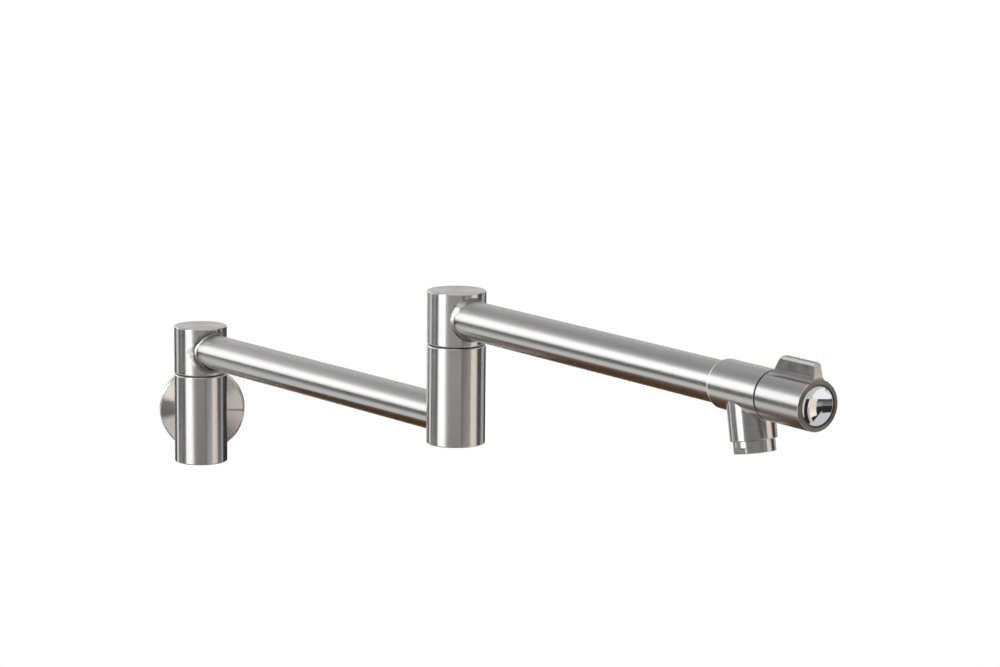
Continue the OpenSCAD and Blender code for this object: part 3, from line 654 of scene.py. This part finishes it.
# Wall hub, lower section: bored from solid bar, brushed on the lathe, with its ends
# faced. The plug that closes its bottom is faced and brushed with it.
upwards = np.array([0.0, 0.0, 1.0])
wall_hub = middle("wall_hub_body")
dress(brushed_steel("wall_hub_steel", wall_hub, upwards), "wall_hub_body", "wall_hub_plug")

# Bushes: turned from white nylon bar and pressed into the mouths of the swivel bores.
# The brass pivots turn in them, so no metal rubs on metal.


def turned_nylon(name, colour):
    """Milky nylon, a little deeper in colour in patches."""
    material, tree = new_material(name)
    clouds = patches(tree, 0.006)
    deep = tuple(0.9 * channel for channel in colour)
    shade(tree, "BsdfPrincipled", {
        "Base Color": mixed(tree, clouds, (*colour, 1), (*deep, 1)),
        "Roughness": spread(tree, clouds, 0, 1, 0.34, 0.48),
        "Subsurface Weight": 0.15,
        "Subsurface Radius": (0.002, 0.002, 0.0018),
        "Subsurface Scale": 1.0,
    })
    return material


dress(turned_nylon("bush_nylon", (0.82, 0.80, 0.74)), "wall_hub_bush", "elbow_hub_bush")

# Lower arm: the head above the wall hub, a tube and the elbow's lower section, welded
# together. The hollow brass pivot below the head turns in the wall hub.
elbow_hub = middle("elbow_hub_body")
lower_tube = middle("lower_arm_tube")
lower_arm = elbow_hub - wall_hub
lower_arm[2] = 0
lower_arm /= np.linalg.norm(lower_arm)
wall_root = np.array([wall_hub[0], wall_hub[1], lower_tube[2]])
root_shade_start_r = 0.0164
root_shade_end_r = 0.0186


def painted_root_shade(tree):
    """Mask and colour of the painted shade round the tube's root: the head's wall is
    painted dark grey within a wavering distance of the tube, on its side."""
    place = wire(tree, "TexCoord").outputs["Object"]
    waver = wire(tree, "TexNoise", {"Vector": place, "Scale": 230.0, "Detail": 2.0})
    distance = distance_from(tree, wall_root, lower_arm)
    edge = maths(tree, "MULTIPLY_ADD", waver.outputs["Fac"], 0.004, distance)
    near = spread(tree, edge, root_shade_start_r, root_shade_end_r, 1, 0)
    outer_side = spread(tree, height_along(tree, wall_root, lower_arm), 0.0, 0.004, 0, 1)
    return maths(tree, "MULTIPLY", near, outer_side), (0.20, 0.194, 0.188, 1), 0.0004


# The lower head carries dark grey painted shade round the tube's root.
dress(brushed_steel("lower_head_steel", wall_hub, upwards, painted_light=painted_root_shade), "lower_head_shell")
dress(turned_brass("wall_pivot_brass", wall_hub, upwards), "lower_pivot_spigot")
dress(brushed_steel("lower_tube_steel", lower_tube, lower_arm), "lower_arm_tube")
elbow_steel = brushed_steel("elbow_hub_steel", elbow_hub, upwards)
dress(elbow_steel, "elbow_hub_body", "elbow_hub_plug")

# Upper arm: made as the lower one, with the valve body welded to its far end. Its head
# and its pivot turn in the elbow.
valve_middle = middle("valve_body")
upper_arm = valve_middle - elbow_hub
upper_arm[2] = 0
upper_arm /= np.linalg.norm(upper_arm)
dress(elbow_steel, "upper_head_shell")
dress(turned_brass("elbow_pivot_brass", elbow_hub, upwards), "upper_pivot_spigot")
dress(brushed_steel("upper_tube_steel", valve_middle, upper_arm), "upper_arm_tube")

# Welds: stainless beads where the tubes meet the hubs, dressed by hand to a hollow
# fillet. The one at the wall hub is left rougher than the others. Those of the two
# heads have a lump where the welder stopped.
hub_r = 0.019
tube_r = 0.0125


def weld(
    name, body, material, root, hub_axis, hub_r, direction, tube_r, width,
    wander=0.05, lump=0.0, lump_place=0.0,
):
    """A hollow fillet round a tube that leaves a hub. The distance along the tube to the
    hub's wall is the root of the hub's radius squared less the sideways part squared,
    plus the upward part times the cosine between the two axes, all over their sine. The
    section is a quadratic curve from the hub's wall, through the corner, to the tube's.
    Its width wanders by a share of itself, and swells by another at a lump's angle."""
    angle = np.linspace(0, 2 * np.pi, 144, endpoint=False)
    cosine = float(np.dot(hub_axis, direction))
    sine = math.sqrt(1 - cosine ** 2)
    up = (hub_axis - cosine * direction) / sine
    side = np.cross(direction, up)
    wave = np.sin(5 * angle + 0.7) + 0.6 * np.sin(11 * angle) + 0.4 * np.sin(23 * angle + 2)
    lump_angle = 0.28
    swell = lump * np.exp(-((angle - lump_place) / lump_angle) ** 2)
    wide = width * (1 + wander * wave + swell)
    edge_sunk = 0.0001
    under_tube = 0.0004
    under_hub = 0.0006

    def on_hub(radius, sunk=0.0):
        """Points at a radius round the tube's axis, on the hub's wall or sunk in it."""
        lift = np.sqrt(hub_r ** 2 - (radius * np.sin(angle)) ** 2)
        along = (lift + radius * cosine * np.cos(angle)) / sine - sunk
        return np.stack([along, radius * np.sin(angle), radius * np.cos(angle)], -1)

    foot = on_hub(tube_r + wide, edge_sunk)
    corner = on_hub(np.full_like(angle, tube_r))
    toe = on_hub(np.full_like(angle, tube_r - edge_sunk))
    toe[:, 0] = corner[:, 0] + wide
    inside = on_hub(np.full_like(angle, tube_r - under_tube), under_hub)[:, None]
    t = np.linspace(0, 1, 12)[None, :, None]
    curve = (1 - t) ** 2 * foot[:, None] + 2 * t * (1 - t) * corner[:, None] + t ** 2 * toe[:, None]
    ring = np.concatenate([curve, inside], 1)
    points = root + ring[..., :1] * direction + ring[..., 1:2] * side + ring[..., 2:] * up
    made = surface(name, points, material, close_rows=True, close_columns=True)
    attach(made, body)


def bead_steel(name, root, direction, ripple_size=0.003, ripple_depth=0.00004, rough=0.2):
    """Weld metal: brushed by hand in all directions, with the ripples of the bead. By the
    direction from the tube's axis, the bead keeps its bright colour on its sides and is
    painted dark grey at its bottom and top, as painted shade."""
    material, tree = new_material(name)
    place = wire(tree, "TexCoord").outputs["Object"]
    ripple = wire(tree, "TexNoise", {"Vector": place, "Scale": 1 / ripple_size, "Detail": 2.0})
    relief = wire(tree, "Bump", {
        "Strength": 0.5, "Distance": ripple_depth, "Height": ripple.outputs["Fac"],
    })
    outward = vectors(tree, "NORMALIZE", outward_from(tree, root, direction))
    up = wire(tree, "SeparateXYZ", {0: outward}).outputs["Z"]
    # Painted shade: dark grey at the bead's bottom and top, its bright colour between.
    off_bottom = spread(tree, up, -0.15, 0.1, 0, 1)
    off_top = spread(tree, up, 0.75, 0.93, 1, 0)
    painted_lit_share = maths(tree, "MULTIPLY", off_bottom, off_top)
    grease = patches(tree, 0.0022)
    unshaded = mixed(tree, grease, (0.64, 0.632, 0.62, 1), (0.54, 0.52, 0.50, 1))
    shade(tree, "BsdfPrincipled", {
        "Base Color": mixed(tree, painted_lit_share, (0.19, 0.18, 0.17, 1), unshaded),
        "Metallic": 1.0,
        "Roughness": spread(tree, grease, 0, 1, rough, rough + 0.1),
        "Normal": relief.outputs[0],
    })
    return material


elbow_low_root = np.array([elbow_hub[0], elbow_hub[1], lower_tube[2]])
elbow_top_root = np.array([elbow_hub[0], elbow_hub[1], middle("upper_arm_tube")[2]])
weld(
    "wall_hub_weld", "lower_arm",
    bead_steel("wall_hub_bead", wall_root, lower_arm, 0.0012, 0.00012, 0.16),
    wall_root, upwards, hub_r, lower_arm, tube_r, width=0.0018,
    wander=0.16, lump=1.1, lump_place=5.95,
)
weld(
    "elbow_lower_weld", "lower_arm",
    bead_steel("elbow_lower_bead", elbow_low_root, -lower_arm),
    elbow_low_root, upwards, hub_r, -lower_arm, tube_r, width=0.0016,
)
weld(
    "elbow_upper_weld", "upper_arm",
    bead_steel("elbow_upper_bead", elbow_top_root, upper_arm),
    elbow_top_root, upwards, hub_r, upper_arm, tube_r, width=0.0025,
    wander=0.02, lump=1.0, lump_place=0.85,
)

# Glide rings: dark filled nylon washers in the three gaps, which keep the faces apart
# and show as a fine dark line.
dress(
    moulded_rubber("glide_ring_nylon", (0.03, 0.03, 0.03)),
    "lower_glide_ring", "upper_glide_ring", "knob_glide_ring",
)

# Valve body: turned from bar and brushed. A pale highlight is painted on its rougher
# tapered shoulder, and near black painted shade on its edge next to the knob.
valve_r = 0.0145
valve_half_length = 0.02105
shoulder_length = 0.0012
# Near black painted shade for the gap between the valve body and the knob.
gap_shade_tone = (0.05, 0.047, 0.044, 1)

# Painted shade at the gap before the knob: it sets in between two heights along the arm.
painted_gap_shade, given, result = new_group(
    "painted_gap_shade",
    (("Centre", "Vector"), ("Axis", "Vector"), ("Unshaded", "Float"), ("Shaded", "Float")),
    (("Mask", "Float"),),
)
height = height_along(painted_gap_shade, given["Centre"], given["Axis"])
shaded = spread(painted_gap_shade, height, given["Unshaded"], given["Shaded"], 0, 1)
painted_gap_shade.links.new(shaded, result["Mask"])


def gap_shade_between(tree, unshaded, shaded):
    """The mask of the painted gap shade, placed in a material of a piece on the valve's axis.
    The heights count from the end of the valve body."""
    return wire(tree, "Group", {
        "Centre": valve_middle,
        "Axis": upper_arm,
        "Unshaded": valve_half_length + unshaded,
        "Shaded": valve_half_length + shaded,
    }, node_tree=painted_gap_shade).outputs["Mask"]


def painted_shoulder_light(tree):
    """Mask and colour of the painted highlight on the valve body's shoulder and of the
    painted shade at its edge next to the knob.
    """
    height = height_along(tree, valve_middle, upper_arm)
    shoulder_end = shoulder_length - valve_half_length
    shoulder = spread(tree, height, shoulder_end, shoulder_end + 0.0006, 1, 0)
    gap_shade = gap_shade_between(tree, -0.0007, -0.0004)
    # Pale painted highlight on the shoulder, near black painted shade at the gap.
    tone = mixed(tree, gap_shade, (0.92, 0.91, 0.89, 1), gap_shade_tone)
    return maths(tree, "MAXIMUM", shoulder, gap_shade), tone, 0.0


valve_steel = brushed_steel(
    "valve_steel", valve_middle, upper_arm, painted_light=painted_shoulder_light, haze=0.6
)
dress(valve_steel, "valve_body")

# Cartridge: a quarter turn cartridge of brass with two fired ceramic discs, which close
# the water way. Its spindle is stainless steel.
dress(
    turned_brass("cartridge_brass", valve_middle, upper_arm), "cartridge_body", "cartridge_nut"
)
dress(dark_steel("spindle_steel", (0.5, 0.49, 0.48), 0.25), "cartridge_spindle")
material, tree = new_material("fired_ceramic")
clouds = patches(tree, 0.003)
shade(tree, "BsdfPrincipled", {
    "Base Color": mixed(tree, clouds, (0.86, 0.84, 0.79, 1), (0.80, 0.78, 0.72, 1)),
    "Roughness": spread(tree, clouds, 0, 1, 0.12, 0.2),
})
dress(material, "fixed_ceramic_disc", "moving_ceramic_disc")

# Spout and aerator: a short brushed tube that leans forward below the valve body, joined
# to it by a fine fillet. The aerator's collar is turned brass, plated and brushed to
# match, round a plastic insert.
spout_r = 0.0135
down_spout = middle("aerator_housing") - valve_middle
down_spout /= np.linalg.norm(down_spout)
weld(
    "spout_weld", "upper_arm",
    bead_steel("spout_bead", valve_middle, down_spout),
    valve_middle, upper_arm, valve_r, down_spout, spout_r, width=0.0006, wander=0.03,
)
dress(brushed_steel("spout_steel", valve_middle, down_spout), "outlet_spout")
dress(
    brushed_steel("aerator_steel", valve_middle, down_spout, rough=0.24), "aerator_housing"
)
dress(turned_nylon("insert_plastic", (0.55, 0.56, 0.56)), "aerator_insert")

# Knob: turned from bar with its fin milled from the same piece and blended by hand, and
# brushed. Dark grey painted shade lies on the fin's flanks and front and on the end ring,
# and near black painted shade at the gap. The end cap is pressed from sheet, dished and
# mirror polished, and its rim is painted near black as the shade of the groove round it.
cap_r = 0.0118
fin_bevel_r = 0.0221


def painted_knob_shade(tree):
    """Mask and colour of the knob's painted shade: dark grey on the fin's flanks, the end
    ring with its edge next to the cap, and the fin's front face, and near black at the
    gap. The fin's flanks lie outside the knob's radius and face sideways. The end ring and
    the fin's front face along the knob. All are also rougher than the turned part."""
    distance = distance_from(tree, valve_middle, upper_arm)
    normal = wire(tree, "TexCoord").outputs["Normal"]
    facing = maths(tree, "ABSOLUTE", vectors(tree, "DOT_PRODUCT", normal, upper_arm, output=1))
    on_fin = spread(tree, distance, valve_r + 0.0001, valve_r + 0.0014, 0, 1)
    below_bevel = spread(tree, distance, fin_bevel_r, fin_bevel_r + 0.0004, 1, 0.45)
    sideways = spread(tree, facing, 0.45, 0.75, 1, 0)
    flank = maths(tree, "MULTIPLY", maths(tree, "MULTIPLY", on_fin, below_bevel), sideways)
    end_face = spread(tree, facing, 0.8, 0.95, 0, 0.9)
    off_fin = spread(tree, distance, valve_r - 0.0002, valve_r + 0.0030, 1, 0)
    inner_edge = spread(tree, distance, cap_r + 0.0004, cap_r + 0.0009, 1, 0)
    ring = maths(tree, "MAXIMUM", maths(tree, "MULTIPLY", end_face, off_fin), inner_edge)
    front_face = spread(tree, facing, 0.8, 0.95, 0, 0.38)
    up_fin = spread(tree, distance, valve_r + 0.0014, valve_r + 0.0030, 0, 1)
    front = maths(tree, "MULTIPLY", front_face, up_fin)
    gap_shade = gap_shade_between(tree, 0.0012, 0.0009)
    place = wire(tree, "TexCoord").outputs["Object"]
    clouds = wire(tree, "TexNoise", {"Vector": place, "Scale": 110.0, "Detail": 2.0})
    share = spread(tree, clouds.outputs["Fac"], 0.3, 0.7, 0, 1)
    # Dark grey painted shade, a little uneven in cloudy patches.
    painted_dark = mixed(tree, share, (0.09, 0.085, 0.08, 1), (0.16, 0.155, 0.15, 1))
    tone = mixed(tree, gap_shade, painted_dark, gap_shade_tone)
    sides = maths(tree, "MAXIMUM", flank, ring)
    ends = maths(tree, "MAXIMUM", front, gap_shade)
    return maths(tree, "MAXIMUM", sides, ends), tone, 0.00001


knob_steel = brushed_steel("knob_steel", valve_middle, upper_arm, painted_light=painted_knob_shade)
dress(knob_steel, "lever_knob")

material, tree = new_material("mirror_steel")
distance = distance_from(tree, valve_middle, upper_arm)
# Painted shade: the cap's rim is painted near black, for the shade of the groove round it.
rim_shade = spread(tree, distance, cap_r - 0.0010, cap_r - 0.0008, 0, 1)
shade(tree, "BsdfPrincipled", {
    "Base Color": mixed(tree, rim_shade, (0.72, 0.72, 0.735, 1), (0.10, 0.095, 0.09, 1)),
    "Metallic": 1.0,
    "Roughness": spread(tree, patches(tree, 0.01), 0, 1, 0.05, 0.09),
})
dress(material, "knob_end_cap")
